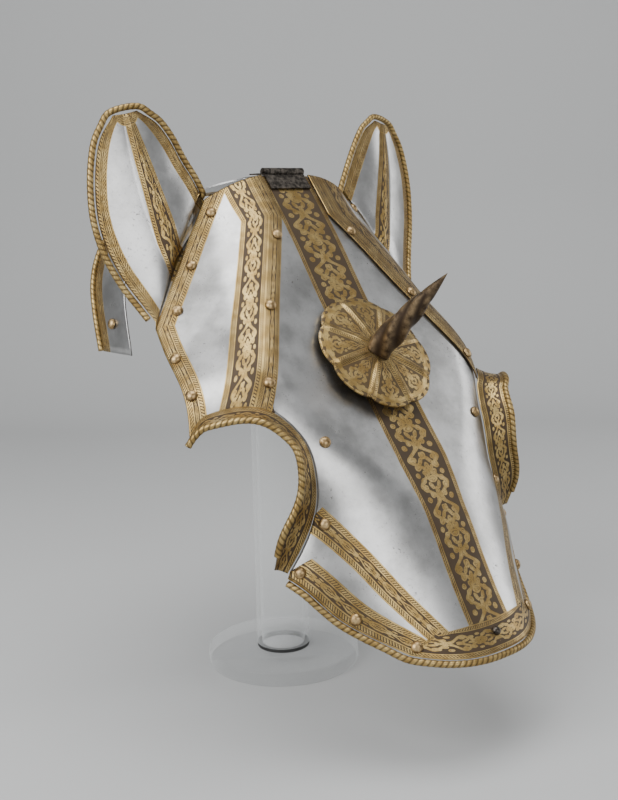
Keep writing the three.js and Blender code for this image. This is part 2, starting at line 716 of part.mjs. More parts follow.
// The poll plate arches over the neck behind the ears: the half width and foot of its arch,
// where its front edge stands from the crown (share 0) to the ends (share 1), and its depth.
const POLL_HALF_WIDTH = 150;
const POLL_END = 309;
const POLL_FRONT = [
  { share: 0, y: PIN_CENTRE.y + 4.4 }, { share: 0.16, y: PIN_CENTRE.y + 6 }, { share: 0.45, y: 24 },
  { share: 0.75, y: 25 }, { share: 1, y: 7 },
];
const POLL_DEPTH = { crown: 62, end: 46 };
const POLL_FALL = 14;         // how far the crown falls towards the rear
const POLL_SQUARENESS = 0.8;
const POLL_STEPS = 20;

const pollFront = new THREE.CubicInterpolant(
  POLL_FRONT.map((row) => row.share), POLL_FRONT.map((row) => row.y), 1,
);

// A point of the arch: across runs from -1 to 1 over the neck, back from the front edge to the rear.
function pollPoint(across, back) {
  const share = Math.abs(across);
  const angle = (Math.PI / 2) * share;
  const x = POLL_HALF_WIDTH * Math.sin(angle) ** POLL_SQUARENESS * Math.sign(across);
  const rise = Math.max(0, Math.cos(angle)) ** POLL_SQUARENESS;
  const y = pollFront.evaluate(share)[0] + back * mix(POLL_DEPTH.crown, POLL_DEPTH.end, share);
  return new THREE.Vector3(x, y, mix(POLL_END, POLL_CROWN, rise) - POLL_FALL * back * (1 - share));
}

function pollPlateGeometry() {
  const outside = [];
  for (let r = 0; r <= POLL_STEPS; r++) {
    const across = -1 + (2 * r) / POLL_STEPS;
    outside.push([0, 0.33, 0.67, 1].map((back) => pollPoint(across, back)));
  }
  return shell(outside, offsetGrid(outside, PLATE));
}

function pollRollGeometry() {
  const path = [];
  for (let r = 0; r <= POLL_STEPS; r++) {
    const point = pollPoint(-1 + (2 * r) / POLL_STEPS, 1);
    path.push(point.add(new THREE.Vector3(0, ROLL + LAP_GAP, 0)));
  }
  return bar(path, ROLL, 6, 32);
}

add('poll_plate', pollPlateGeometry(), STEEL);
add('poll_roll', pollRollGeometry(), GILT);

for (const side of [RIGHT, LEFT]) {
  const share = 0.93;
  const seat = pollPoint(side * share, 0.5);
  const outward = seat.clone().sub(new THREE.Vector3(0, seat.y, seat.z - 30)).normalize();
  add(`rivet_poll_${sideName(side)}`, rivetGeometry(), BRASS,
    seat.addScaledVector(outward, RIVET_SEAT + 0.2), outward);
}

// ---------------------------------------------------------------- display stand

const SEAL_HEIGHT = 3;
const PLUG_HEIGHT = 14;
const EDGE = 1.5;             // rounding of the base's edges

function standRing(inner, outer, bottom, top) {
  const shape = new THREE.Shape().absarc(0, 0, outer, 0, 2 * Math.PI);
  shape.holes.push(new THREE.Path().absarc(0, 0, inner, 0, 2 * Math.PI, true));
  const ring = new THREE.ExtrudeGeometry(shape, { depth: top - bottom, bevelEnabled: false, curveSegments: 16 });
  return ring.translate(0, 0, bottom);
}

const baseProfile = [
  [0, 0], [BASE_RADIUS - EDGE, 0], [BASE_RADIUS, EDGE], [BASE_RADIUS, BASE_HEIGHT - EDGE],
  [BASE_RADIUS - EDGE, BASE_HEIGHT], [0, BASE_HEIGHT],
];
const sealFoot = BASE_HEIGHT + GAP;
const columnFoot = sealFoot + SEAL_HEIGHT + GAP;
const columnInside = COLUMN_RADIUS - COLUMN_WALL;
const plugRadius = columnInside - GAP;
const plugProfile = [
  [0, columnFoot], [plugRadius, columnFoot], [plugRadius, columnFoot + PLUG_HEIGHT], [0, columnFoot + PLUG_HEIGHT],
];

add('stand_base', turned(baseProfile, 40), ACRYLIC);
add('stand_seal', standRing(COLUMN_RADIUS - 5, COLUMN_RADIUS - 0.4, sealFoot, sealFoot + SEAL_HEIGHT), BLACK);
add('stand_plug', turned(plugProfile, 32), ACRYLIC);
add('stand_column', standRing(columnInside, COLUMN_RADIUS, columnFoot, COLUMN_TOP), ACRYLIC);

// The block on the column that the armour's poll rests on: its outline from the side as y, z.
function headRestGeometry() {
  const halfWidth = 21;
  const clear = PLATE + 1;
  const front = faceFrame(0, -137, surfaceOut(0, -137) - clear);
  const top = faceFrame(0, -176, surfaceOut(0, -176) - clear);
  const foot = COLUMN_TOP + GAP;
  const outline = new THREE.Shape();
  outline.moveTo(-COLUMN_RADIUS, foot);
  outline.lineTo(front.y, front.z);
  outline.lineTo(top.y, top.z);
  outline.lineTo(8, top.z - 2);
  outline.lineTo(COLUMN_RADIUS, foot + 22);
  outline.lineTo(COLUMN_RADIUS, foot);
  outline.closePath();
  const block = new THREE.ExtrudeGeometry(outline, { depth: 2 * halfWidth, bevelEnabled: false });
  block.translate(0, 0, -halfWidth);
  return block.applyMatrix4(new THREE.Matrix4().makeBasis(
    new THREE.Vector3(0, 1, 0), new THREE.Vector3(0, 0, 1), new THREE.Vector3(1, 0, 0),
  ));
}

add('stand_head_rest', headRestGeometry(), ACRYLIC);

export default assembly;
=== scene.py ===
# %% [markdown]
# # A horse head armour on its clear stand
# The frame comes first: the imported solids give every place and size. The armour's plates are then
# made again as fine, smooth sheets from the same measured outlines, because etched bands, roped
# edges and polished steel need smoother surfaces than the frame's facets.

import math

import bpy
import numpy as np
from mathutils import Matrix, Vector


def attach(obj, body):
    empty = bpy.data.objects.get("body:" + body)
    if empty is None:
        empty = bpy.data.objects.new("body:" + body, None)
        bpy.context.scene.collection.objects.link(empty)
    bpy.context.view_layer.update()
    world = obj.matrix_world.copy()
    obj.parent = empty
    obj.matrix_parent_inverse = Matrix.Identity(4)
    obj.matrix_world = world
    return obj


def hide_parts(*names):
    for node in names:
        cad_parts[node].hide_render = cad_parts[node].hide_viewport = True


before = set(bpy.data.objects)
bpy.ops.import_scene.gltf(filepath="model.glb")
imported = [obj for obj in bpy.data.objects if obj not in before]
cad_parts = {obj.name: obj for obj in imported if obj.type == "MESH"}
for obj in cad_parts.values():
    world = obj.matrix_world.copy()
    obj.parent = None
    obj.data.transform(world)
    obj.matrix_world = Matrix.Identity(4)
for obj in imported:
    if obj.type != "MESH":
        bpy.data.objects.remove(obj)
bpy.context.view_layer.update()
MM = 0.001

# %% [markdown]
# ## Smooth curves
# The armourer's outlines are smooth lines through a few measured points. A line that leaves each
# point in the direction of its neighbours, and never overshoots, is a centripetal Catmull-Rom curve.
# The face's sections use a cubic through unevenly spaced rows.

# %% Curves through measured points
def smooth_line(points, count):
    """Points spread evenly by length along a smooth line through the given points."""
    rows = np.array(points, float)
    rows = np.vstack([2 * rows[0] - rows[1], rows, 2 * rows[-1] - rows[-2]])
    dense = []
    for k in range(1, len(rows) - 2):
        before, start, end, after = rows[k - 1:k + 3]
        d0, d1, d2 = [max(np.linalg.norm(b - a) ** 0.5, 1e-6)
                      for a, b in ((before, start), (start, end), (end, after))]
        leave = ((start - before) / d0 - (end - before) / (d0 + d1) + (end - start) / d1) * d1
        arrive = ((end - start) / d1 - (after - start) / (d1 + d2) + (after - end) / d2) * d1
        t = np.linspace(0, 1, 60, endpoint=False)[:, None]
        dense.append((2 * t**3 - 3 * t**2 + 1) * start + (t**3 - 2 * t**2 + t) * leave
                     + (-2 * t**3 + 3 * t**2) * end + (t**3 - t**2) * arrive)
    dense = np.vstack(dense + [rows[-2][None]])
    length = np.concatenate([[0], np.cumsum(np.linalg.norm(np.diff(dense, axis=0), axis=1))])
    where = np.linspace(0, length[-1], count)
    return np.stack([np.interp(where, length, dense[:, k]) for k in range(dense.shape[1])], axis=1)


def table_curve(table, at):
    """A smooth cubic through the rows of a table, whose first column is where each row stands."""
    table = np.array(table, float)
    place, value = table[:, 0], table[:, 1:]
    at = np.atleast_1d(np.asarray(at, float))
    k = np.clip(np.searchsorted(place, at, side="right"), 1, len(place) - 1)
    before = np.where(k >= 2, k - 2, k)
    after = np.where(k + 1 < len(place), k + 1, k - 1)
    t0, t1 = place[k - 1], place[k]
    half = (t1 - t0) / 2
    lead = (half / (t0 - place[before]))[:, None]
    follow = (half / (place[after] - t1))[:, None]
    p = ((at - t0) / (t1 - t0))[:, None]
    return ((-lead * p**3 + 2 * lead * p**2 - lead * p) * value[before]
            + ((1 + lead) * p**3 + (-1.5 - 2 * lead) * p**2 + (lead - 0.5) * p + 1) * value[k - 1]
            + ((-1 - follow) * p**3 + (1.5 + follow) * p**2 + 0.5 * p) * value[k]
            + (follow * p**3 - follow * p**2) * value[after])


# %% [markdown]
# ## The face surface
# All plates of the brow lie on one hammered form: a flat down the middle, an arc on each side and
# straight flanks. Each row gives the distance down the face, the height of the flat, its half width,
# the arc's radius and how far the arc turns.

# %% The hammered form
PLATE = 1.2
ROLL = 2.8
GAP = 0.3
LAP_GAP = 0.9
BROW = np.array([0.0, -133.0, 309.0])
LEAN = math.radians(40.1)
DOWN = np.array([0.0, -math.sin(LEAN), -math.cos(LEAN)])
OUT = np.array([0.0, -math.cos(LEAN), math.sin(LEAN)])
SECTIONS = [
    (-205, 7.5, 34, 56, 46), (-160, 6, 28, 82, 45), (-120, 4.3, 38, 90, 44), (-60, -1.5, 68, 64, 43),
    (0, -5.5, 95, 46, 42), (60, -9, 72, 60, 50), (100, -10.5, 42, 80, 60), (136, -14.5, 18, 120, 62),
    (160, -18.5, 10, 130, 62), (190, -24.5, 5, 122, 62), (225, -30, 5, 108, 62), (265, -33, 4, 95, 62),
]


def surface_out(x, down):
    x, down = np.broadcast_arrays(np.asarray(x, float), np.asarray(down, float))
    rise, flat, radius, turn = table_curve(SECTIONS, down.ravel()).T.reshape(4, *down.shape)
    beyond = np.maximum(0, np.abs(x) - flat)
    steep = np.radians(turn)
    arc = radius * np.sin(steep)
    on_arc = rise - radius + np.sqrt(np.maximum(radius**2 - np.minimum(beyond, arc)**2, 0))
    on_flank = rise - radius * (1 - np.cos(steep)) - (beyond - arc) * np.tan(steep)
    return np.where(beyond < arc, on_arc, on_flank)


def face_frame(x, down, out):
    x, down, out = np.broadcast_arrays(*[np.asarray(v, float) for v in (x, down, out)])
    place = BROW + down[..., None] * DOWN + out[..., None] * OUT
    place[..., 0] = x
    return place


def on_face(x, down):
    return face_frame(x, down, surface_out(x, down))


def unit(v):
    return v / np.maximum(np.linalg.norm(v, axis=-1, keepdims=True), 1e-9)


def face_normal(x, down):
    across = on_face(x + 1, down) - on_face(x - 1, down)
    lengthwise = on_face(x, down + 1) - on_face(x, down - 1)
    return unit(np.cross(lengthwise, across))


def off_face(x, down, proud):
    x, down = np.asarray(x, float), np.asarray(down, float)
    return on_face(x, down) + face_normal(x, down) * proud


print("middle of the brow:", on_face(0.0, 0.0).round(1))

# %% [markdown]
# ## Making sheets and bars
# A hammered plate is a front grid and a back grid joined by a rim. Named vectors kept on the points
# tell the finishes where each point lies on the plate, in millimetres, so that the etched bands
# follow the plate's own edges.

# %% Meshes from grids
def keep_vectors(mesh, maps):
    for name, values in maps.items():
        layer = mesh.attributes.new(name, "FLOAT_VECTOR", "POINT")
        layer.data.foreach_set("vector", np.asarray(values, np.float32).reshape(-1))


def make_object(name, points, faces, flat_from, maps, finish, body, nodes):
    mesh = bpy.data.meshes.new(name)
    mesh.from_pydata((np.asarray(points) * MM).tolist(), [], [list(map(int, f)) for f in faces])
    smooth = np.arange(len(faces)) < flat_from
    mesh.polygons.foreach_set("use_smooth", smooth)
    keep_vectors(mesh, maps)
    mesh.materials.append(finish)
    piece = bpy.data.objects.new(name, mesh)
    bpy.context.scene.collection.objects.link(piece)
    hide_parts(*nodes)
    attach(piece, body)
    return piece


def grid_faces(rows, columns, start, flip):
    r, c = np.meshgrid(np.arange(rows - 1), np.arange(columns - 1), indexing="ij")
    a = (start + r * columns + c).ravel()
    quad = np.stack([a, a + 1, a + columns + 1, a + columns], axis=1)
    return quad[:, ::-1] if flip else quad


def sheet(name, front, back, maps, finish, body, nodes, flip=False):
    """A closed plate between two grids; maps give a vector for each point of the grid."""
    rows, columns = front.shape[:2]
    size = rows * columns
    faces = list(grid_faces(rows, columns, 0, flip)) + list(grid_faces(rows, columns, size, not flip))
    broad = len(faces)
    at = np.arange(size).reshape(rows, columns)
    rim = np.concatenate([at[0, :-1], at[:-1, -1], at[-1, :0:-1], at[:0:-1, 0]])
    for p, q in zip(rim, np.roll(rim, -1)):
        faces.append((p, q, q + size, p + size) if flip else (q, p, p + size, q + size))
    points = np.concatenate([front.reshape(-1, 3), back.reshape(-1, 3)])
    doubled = {key: np.concatenate([v.reshape(-1, 3), v.reshape(-1, 3)]) for key, v in maps.items()}
    return make_object(name, points, faces, broad, doubled, finish, body, nodes)


def vectors(x, y, z=0.0):
    return np.stack(np.broadcast_arrays(*[np.asarray(v, float) for v in (x, y, z)]), axis=-1)


def roped_bar(name, path, radius, finish, body, nodes, around=12, steps=420, turns_mm=4.6):
    """A round edge with a twisted rope worked on it, along a smooth path."""
    line = smooth_line(path, steps)
    ahead = unit(np.gradient(line, axis=0))
    side = unit(np.cross(ahead, np.roll(ahead, 1, axis=1) + np.array([0.13, 0.29, 0.41])))
    for k in range(1, len(side)):
        side[k] = side[k - 1] - ahead[k] * side[k - 1].dot(ahead[k])
        side[k] /= np.linalg.norm(side[k])
    up = np.cross(ahead, side)
    length = np.concatenate([[0], np.cumsum(np.linalg.norm(np.diff(line, axis=0), axis=1))])
    angle = np.linspace(0, 2 * math.pi, around, endpoint=False)
    phase = 2 * math.pi * length[:, None] / turns_mm + 2 * angle[None]
    swell = radius * (0.96 + 0.04 * np.sin(phase))
    ring = (line[:, None] + swell[..., None] * (np.cos(angle)[None, :, None] * side[:, None]
                                                + np.sin(angle)[None, :, None] * up[:, None]))
    rope = vectors(length[:, None], np.sin(phase), 0)
    points = ring.reshape(-1, 3)
    faces = []
    for s in range(steps - 1):
        for k in range(around):
            m = (k + 1) % around
            faces.append((s * around + k, s * around + m, (s + 1) * around + m, (s + 1) * around + k))
    faces.append(tuple(range(around - 1, -1, -1)))
    faces.append(tuple(range((steps - 1) * around, steps * around)))
    return make_object(name, points, faces, len(faces) - 2, {"rope": rope}, finish, body, nodes)


def turned(name, profile, sides, finish, body, nodes, place=(0, 0, 0), direction=(0, 0, 1), closed=False):
    """A piece turned on a lathe: the profile runs from axis to axis, or round a ring, as radius, height."""
    profile = np.array(profile, float)
    angle = np.linspace(0, 2 * math.pi, sides, endpoint=False)
    radius, height = profile[:, None, 0], profile[:, None, 1]
    ring = vectors(radius * np.cos(angle), radius * np.sin(angle), height)
    turn = np.array(Vector((0, 0, 1)).rotation_difference(Vector(direction)).to_matrix())
    points = ring.reshape(-1, 3) @ turn.T + np.array(place, float)
    faces = []
    count = len(profile)
    for r in range(count if closed else count - 1):
        below, above = r * sides, ((r + 1) % count) * sides
        for k in range(sides):
            m = (k + 1) % sides
            faces.append((below + k, below + m, above + m, above + k))
    piece = make_object(name, points, faces, len(faces), {}, finish, body, nodes)
    weld = piece.modifiers.new("weld", "WELD")
    weld.merge_threshold = 1e-6
    edge = piece.modifiers.new("edges", "EDGE_SPLIT")
    edge.split_angle = math.radians(40)
    return piece

# %% [markdown]
# ## Shader maths in plain Python
# Etched bands are patterns, and patterns are sums, products and comparisons. A small class wraps a
# node socket and takes Python's operators, so a pattern reads as a formula. Colours are mixed by Mix
# nodes, because a Math node would turn them grey.

# %% Sockets that take operators
class Value:
    """A number that changes over the surface."""

    def __init__(self, finish, socket):
        self.finish = finish
        self.socket = socket

    def maths(self, operation, *others):
        return self.finish.node("ShaderNodeMath", {"operation": operation}, [self, *others])

    def __add__(self, other):
        return self.maths("ADD", other)

    def __sub__(self, other):
        return self.maths("SUBTRACT", other)

    def __mul__(self, other):
        return self.maths("MULTIPLY", other)

    def __truediv__(self, other):
        return self.maths("DIVIDE", other)

    def __rsub__(self, other):
        return self.finish.node("ShaderNodeMath", {"operation": "SUBTRACT"}, [other, self])

    def __lt__(self, other):
        return self.maths("LESS_THAN", other)

    def __gt__(self, other):
        return self.maths("GREATER_THAN", other)

    def __neg__(self):
        return self * -1

    __radd__ = __add__
    __rmul__ = __mul__

    def size(self):
        return self.maths("ABSOLUTE")

    def fold(self):
        return self.maths("FRACT")

    def wave(self):
        return self.maths("SINE")

    def least(self, other):
        return self.maths("MINIMUM", other)

    def most(self, other):
        return self.maths("MAXIMUM", other)

    def ramp(self, low, high):
        settings = {"interpolation_type": "SMOOTHSTEP"}
        inputs = {"Value": self, "From Min": low, "From Max": high}
        return self.finish.node("ShaderNodeMapRange", settings, inputs)

    def choose(self, here, elsewhere):
        """here where this mask is 1, elsewhere where it is 0."""
        return elsewhere + self * (here - elsewhere)


class Finish:
    """A material and the nodes that make it."""

    def __init__(self, name):
        self.material = bpy.data.materials.new(name)
        self.material.use_nodes = True
        self.tree = self.material.node_tree
        self.skin = self.tree.nodes["Principled BSDF"]

    def node(self, kind, settings=None, inputs=(), output=0):
        made = self.tree.nodes.new(kind)
        for key, value in (settings or {}).items():
            setattr(made, key, value)
        pairs = inputs.items() if isinstance(inputs, dict) else enumerate(inputs)
        for key, value in pairs:
            self.feed(made.inputs[key], value)
        return Value(self, made.outputs[output])

    def feed(self, socket, value):
        if isinstance(value, Value):
            self.tree.links.new(value.socket, socket)
        else:
            socket.default_value = value

    def kept(self, name):
        """The parts of a vector kept on the points, as three values."""
        vector = self.node("ShaderNodeAttribute", {"attribute_name": name}, output="Vector")
        parts = self.node("ShaderNodeSeparateXYZ", inputs=[vector])
        return [Value(self, parts.socket.node.outputs[k]) for k in range(3)]

    def noise(self, size_mm, detail=3.0, roughness=0.55):
        place = self.node("ShaderNodeTexCoord", output="Object")
        inputs = {"Vector": place, "Scale": 1000 / size_mm, "Detail": detail, "Roughness": roughness}
        return self.node("ShaderNodeTexNoise", inputs=inputs)

    def blend(self, share, first, second):
        made = self.tree.nodes.new("ShaderNodeMix")
        made.data_type = "RGBA"
        self.feed(made.inputs[0], share)
        self.feed(made.inputs[6], first)
        self.feed(made.inputs[7], second)
        return Value(self, made.outputs[2])

    def set(self, **sockets):
        for key, value in sockets.items():
            self.feed(self.skin.inputs[key.replace("_", " ")], value)

    def relief(self, height, depth_mm, strength=1.0):
        inputs = {"Strength": strength, "Distance": depth_mm * MM, "Height": height}
        self.set(Normal=self.node("ShaderNodeBump", inputs=inputs))


# %% [markdown]
# ## Etched and gilt ornament
# The etcher covers the plate with wax, scratches the design, bites the ground with acid and gilds
# what stands. So the design is gold and the ground is dark brown. The foliage here is a made-up
# traditional scroll: leaves and buds are ellipses that repeat along the band, with roped lines at
# both edges.

# %% The etched band
GOLD = (0.33, 0.215, 0.07, 1)
PALE_GOLD = (0.55, 0.40, 0.165, 1)
# The dark brown of the etched ground and of tarnish; the roped edges also use it as painted shade in their
# grooves.
GROUND_AND_GROOVE_SHADE = (0.055, 0.035, 0.018, 1)
# Each leaf: place along the band and across it, half length, half width, turn in degrees.
CANDELABRA = [
    (0.06, 0.00, 0.085, 0.17, 0), (0.17, 0.22, 0.085, 0.10, 35), (0.13, 0.52, 0.05, 0.17, -20),
    (0.27, 0.46, 0.075, 0.16, 40), (0.30, 0.00, 0.10, 0.13, 0), (0.41, 0.24, 0.07, 0.12, -35),
    (0.42, 0.66, 0.05, 0.12, 15), (0.52, 0.00, 0.07, 0.26, 0), (0.53, 0.50, 0.06, 0.13, 50),
    (0.64, 0.20, 0.08, 0.10, -25), (0.67, 0.58, 0.07, 0.16, 25), (0.75, 0.00, 0.085, 0.12, 0),
    (0.80, 0.34, 0.06, 0.14, 45), (0.88, 0.66, 0.055, 0.13, -30), (0.91, 0.16, 0.05, 0.09, 30),
]


def foliage(finish, along, across, period):
    """1 on the leaves; across is 0 in the middle of the field and 1 at its edge."""
    step = (along / period).fold()
    side = across.size()
    nearest = None
    for u, v, length, width, degrees in CANDELABRA:
        c, s = math.cos(math.radians(degrees)), math.sin(math.radians(degrees))
        du, dv = step - u, side - v
        a = (du * c + dv * (s * 0.4)) / length
        b = (dv * c - du * (s * 2.5)) / width
        leaf = a * a + b * b
        nearest = leaf if nearest is None else nearest.least(leaf)
    wobble = finish.noise(2.2, 2.0) - 0.5
    stem = (side - ((step * (4 * math.pi)).wave() * 0.30 + 0.38)).size() * 9
    nearest = nearest.least(stem * stem * 0.7) + wobble * 0.9
    vein = (nearest - 0.28).size() < 0.06
    return (1 - nearest.ramp(0.75, 1.2)) * (1 - vein * 0.7)


def etched(finish, along, across, half, period):
    """Gold share inside a band: roped lines at both edges and foliage between them."""
    edge = half - across.size()
    line = (edge - 0.5).size() < 0.45
    inner_line = (edge - 3.9).size() < 0.35
    rope = (edge > 1.3) * (edge < 3.3) * (((along + edge * 1.1) / 2.3).fold() > 0.42)
    field = edge > 4.6
    inner_half = half - 4.6
    inner_half = inner_half.most(1.0) if isinstance(inner_half, Value) else max(inner_half, 1.0)
    leaves = foliage(finish, along, across / inner_half, period) * field
    return leaves.most(line).most(inner_line).most(rope)


def gilt_colours(finish, gold):
    patina = finish.noise(9, 4.0)
    fine = finish.noise(1.1, 2.0)
    worn = finish.blend(patina.ramp(0.35, 0.7), GOLD, PALE_GOLD)
    tarnish = finish.blend((fine * 0.7 + patina * 0.3).ramp(0.58, 0.72) * 0.6, worn, GROUND_AND_GROOVE_SHADE)
    return finish.blend(gold, GROUND_AND_GROOVE_SHADE, tarnish)


def steel_colours(finish):
    """Polished steel with faint clouds, dark pits and stains."""
    cloud = finish.noise(38, 5.0, 0.62)
    pits = finish.noise(2.4, 6.0, 0.75)
    patch = finish.noise(26, 4.0, 0.6).ramp(0.50, 0.68)
    clean = finish.blend(cloud.ramp(0.3, 0.7), (0.36, 0.357, 0.35, 1), (0.58, 0.58, 0.575, 1))
    speck = (pits.ramp(0.57, 0.66) * (patch * 0.85 + 0.2)).least(1.0)
    return finish.blend(speck, clean, (0.07, 0.062, 0.055, 1)), cloud, speck


def plate_finish(name, bands):
    """Steel with etched bands. bands(finish) returns masks with their own band coordinates."""
    finish = Finish(name)
    inside = along = across = half = None
    for mask, here_along, here_across, here_half in bands(finish):
        if inside is None:
            inside, along, across, half = mask, here_along, here_across, mask * here_half
            continue
        along = mask.choose(here_along, along)
        across = mask.choose(here_across, across)
        half = mask.choose(here_half, half)
        inside = inside.most(mask)
    gold = etched(finish, along, across, half, 46.0)
    steel, cloud, speck = steel_colours(finish)
    gilt = gilt_colours(finish, gold)
    finish.set(
        Base_Color=finish.blend(inside, steel, gilt),
        Metallic=inside.choose(gold * 0.5 + 0.5, 1 - speck * 0.5),
        Roughness=inside.choose(0.56 - gold * 0.18, cloud * 0.16 + 0.24 + speck * 0.25),
    )
    finish.relief(inside * gold + finish.noise(16, 2.0) * 1.2 - speck * 0.5, 0.12, 0.6)
    return finish.material


def mask_of(x, low, high):
    return (x > low) * (x < high)


print("shapes in one repeat of the scroll:", len(CANDELABRA))

# %% [markdown]
# ## The face plate
# One sheet covers the brow, cheeks and nose. A broad etched band runs down its middle, a narrow one
# crosses each cheek, and a gilt border follows the lower edge. The plate's outline is the frame's:
# straight under the temple plates, cut out round the eyes, then down the cheeks to the nose.

# %% The face plate
FACE_TOP = -187
MIDDLE_BAND = 26.5
UNDERLAP = 18
EYE_CUT = [(166, 19), (156, 10), (140, 13), (127, 20), (115, 32), (106, 46), (100, 62), (98, 82),
           (99.5, 101), (105, 115), (113, 127), (123, 139)]
EYE_PARTING = 0.345
CHEEK_CORNER = np.array([124.0, 142.0])
NOSE_CORNER = np.array([71.0, 233.0])
NOSE_TIP = 258
CHEEK_BOW = 4.5
RIM_BEND = 2.5
CHEEK_BORDER = 14
NOSE_BORDER = 25


def band_edge(down):
    return np.maximum(MIDDLE_BAND, 28 + (np.asarray(down, float) + 140) * 0.52)


eye_cut = smooth_line(EYE_CUT, 400)


def cut_at(share):
    return np.array([np.interp(share, np.linspace(0, 1, len(eye_cut)), eye_cut[:, k]) for k in (0, 1)])


def face_rows():
    rows = []
    for down in np.linspace(FACE_TOP, 17, 90, endpoint=False):
        rows.append((band_edge(down) + UNDERLAP, down, down))
    for share in np.linspace(0, 1, 70, endpoint=False):
        x, down = cut_at(EYE_PARTING * 0.99 + (1 - EYE_PARTING * 0.99) * share)
        rows.append((x, down, 22 + 132 * share))
    for share in np.linspace(0, 1, 70):
        x, down = CHEEK_CORNER + (NOSE_CORNER - CHEEK_CORNER) * share
        rows.append((x + CHEEK_BOW * math.sin(math.pi * share), down, 154 + (NOSE_TIP - 154) * share))
    return np.array(rows)


def rim_vectors(x, down):
    """Distance along the lower border, depth inside it, and the border's width."""
    along_edge = NOSE_CORNER - CHEEK_CORNER
    length = np.linalg.norm(along_edge)
    run = along_edge / length
    away = np.array([run[1], -run[0]])
    dx, dd = np.abs(x) - CHEEK_CORNER[0], down - CHEEK_CORNER[1]
    along = dx * run[0] + dd * run[1]
    bow = CHEEK_BOW * np.sin(math.pi * np.clip(along / length, 0, 1))
    cheek_depth = -(dx * away[0] + dd * away[1]) + bow * away[0]
    nose_edge = NOSE_TIP + (NOSE_CORNER[1] - NOSE_TIP) * (np.abs(x) / NOSE_CORNER[0])**RIM_BEND
    nose_depth = nose_edge - down
    near_nose = np.clip((down - 206) / 26, 0, 1)
    depth = np.minimum(cheek_depth, nose_depth + 30 * (1 - near_nose))
    nose = nose_depth < cheek_depth
    run_on = np.where(nose, length + NOSE_CORNER[0] - np.abs(x), along)
    return vectors(run_on, depth, np.where(nose, NOSE_BORDER, CHEEK_BORDER))


def face_bands(f):
    x, down, _ = f.kept("place")
    run, depth, width = f.kept("rim")
    side = x.size()
    middle_half = (26.5 - (down - 100) * 0.1).least(26.5).most(22.5)
    yield side < middle_half, down, x, middle_half
    cheek_along = (side - 101.5) * -0.4265 + (down - 116.5) * 0.9044
    cheek_across = (side - 101.5) * 0.9044 + (down - 116.5) * 0.4265
    on_cheek = (cheek_across.size() < 7.4) * (cheek_along > -6) * (side > middle_half)
    yield on_cheek, cheek_along, cheek_across, 7.4
    yield (depth < width) * (down > 138), run, depth - width / 2, width / 2


rows = face_rows()
HALF = 60
share = np.linspace(-1, 1, 2 * HALF + 1)[None]
face_x = rows[:, :1] * share
face_down = rows[:, 2:] + (rows[:, 1:2] - rows[:, 2:]) * np.abs(share)**RIM_BEND
face_maps = {"place": vectors(face_x, face_down), "rim": rim_vectors(face_x, face_down)}
etched_steel = plate_finish("etched_steel_face", face_bands)
sheet("face", off_face(face_x, face_down, 0), off_face(face_x, face_down, -PLATE), face_maps,
      etched_steel, "armour", ["face_plate"])
print("face plate points:", face_x.size)

# %% [markdown]
# ## The temple plates
# A separate plate lies over each side of the brow. Its inner edge is riveted to the face plate through
# a narrow band, with a broad foliage band beside it, and gilt borders follow the ear and rear edges.

# %% The temple plates
TEMPLE_CORNER = np.array([150.0, -83.0])
TEMPLE_REAR = np.array([166.0, 19.0])
EAR_EDGE_TOP = np.array([79.0, -178.0])


def temple_bands(f):
    x, down, _ = f.kept("place")
    side = x.size()
    edge = ((down + 140) * 0.52 + 28).most(MIDDLE_BAND)
    along = down * 1.12
    inner = side - edge
    yield inner < 13.5, along, inner - 6.8, 6.8
    yield mask_of(inner, 13.5, 39), along, inner - 26.3, 12.8
    ear = (down + 178) * 0.599 - (side - 79) * 0.801
    yield ear < 12.5, (side - 79) * 0.599 + (down + 178) * 0.801, ear - 6.2, 6.3
    rear = (down + 83) * 0.155 - (side - 150) * 0.988
    yield (rear < 11.5) * (down > -80), down * 1.0, rear - 5.7, 5.8


def temple_grid():
    x_rows, down_rows = [], []
    inner_end = cut_at(EYE_PARTING)
    c = np.linspace(0, 1, 56)
    for s in np.linspace(0, 1, 60, endpoint=False):
        down = FACE_TOP + (-78 - FACE_TOP) * s
        outer = EAR_EDGE_TOP + (TEMPLE_CORNER - EAR_EDGE_TOP) * s
        x_rows.append(band_edge(down) + (outer[0] - band_edge(down)) * c)
        down_rows.append(down + (outer[1] - down) * c)
    for s in np.linspace(0, 1, 60):
        down = -78 + (inner_end[1] + 78) * s
        inner_x = min(float(band_edge(down)), inner_end[0])
        outer = TEMPLE_CORNER + (TEMPLE_REAR - TEMPLE_CORNER) * s
        bend = 1 + 1.4 * s * s
        x_rows.append(inner_x + (outer[0] - inner_x) * c)
        down_rows.append(down + (outer[1] - down) * (1 - (1 - c)**bend))
    return np.array(x_rows), np.array(down_rows)


TEMPLE_LIFT = PLATE + LAP_GAP
temple_x, temple_down = temple_grid()
temple_steel = plate_finish("etched_steel_temple", temple_bands)
SIDES = {"right": -1, "left": 1}
for word, side in SIDES.items():
    x = temple_x * side
    sheet(f"temple_{word}", off_face(x, temple_down, TEMPLE_LIFT), off_face(x, temple_down, LAP_GAP),
          {"place": vectors(x, temple_down)}, temple_steel, "armour", [f"temple_plate_{word}"], side < 0)

# %% [markdown]
# ## Gilt pieces
# Edges, flanges and the rondel are gilt all over, so they take one antique gold with dark etched ground,
# and the roped edges take painted shade in the grooves of their twist.
# Where a piece carries foliage, the same etched band fills it from edge to edge.

# %% Gold finishes
def rope_finish():
    finish = Finish("roped_gilt")
    _, twist, _ = finish.kept("rope")
    # Painted shade: the grooves between the rope's strands are coloured darker, with more dark ground and
    # less gold, while the ridges keep the gold.
    hollow = twist.ramp(0.1, -0.75)
    gold = gilt_colours(finish, (0.82 - hollow * 0.6).least(1.0))
    finish.set(Base_Color=gold, Metallic=0.9, Roughness=0.42 + hollow * 0.2)
    return finish.material


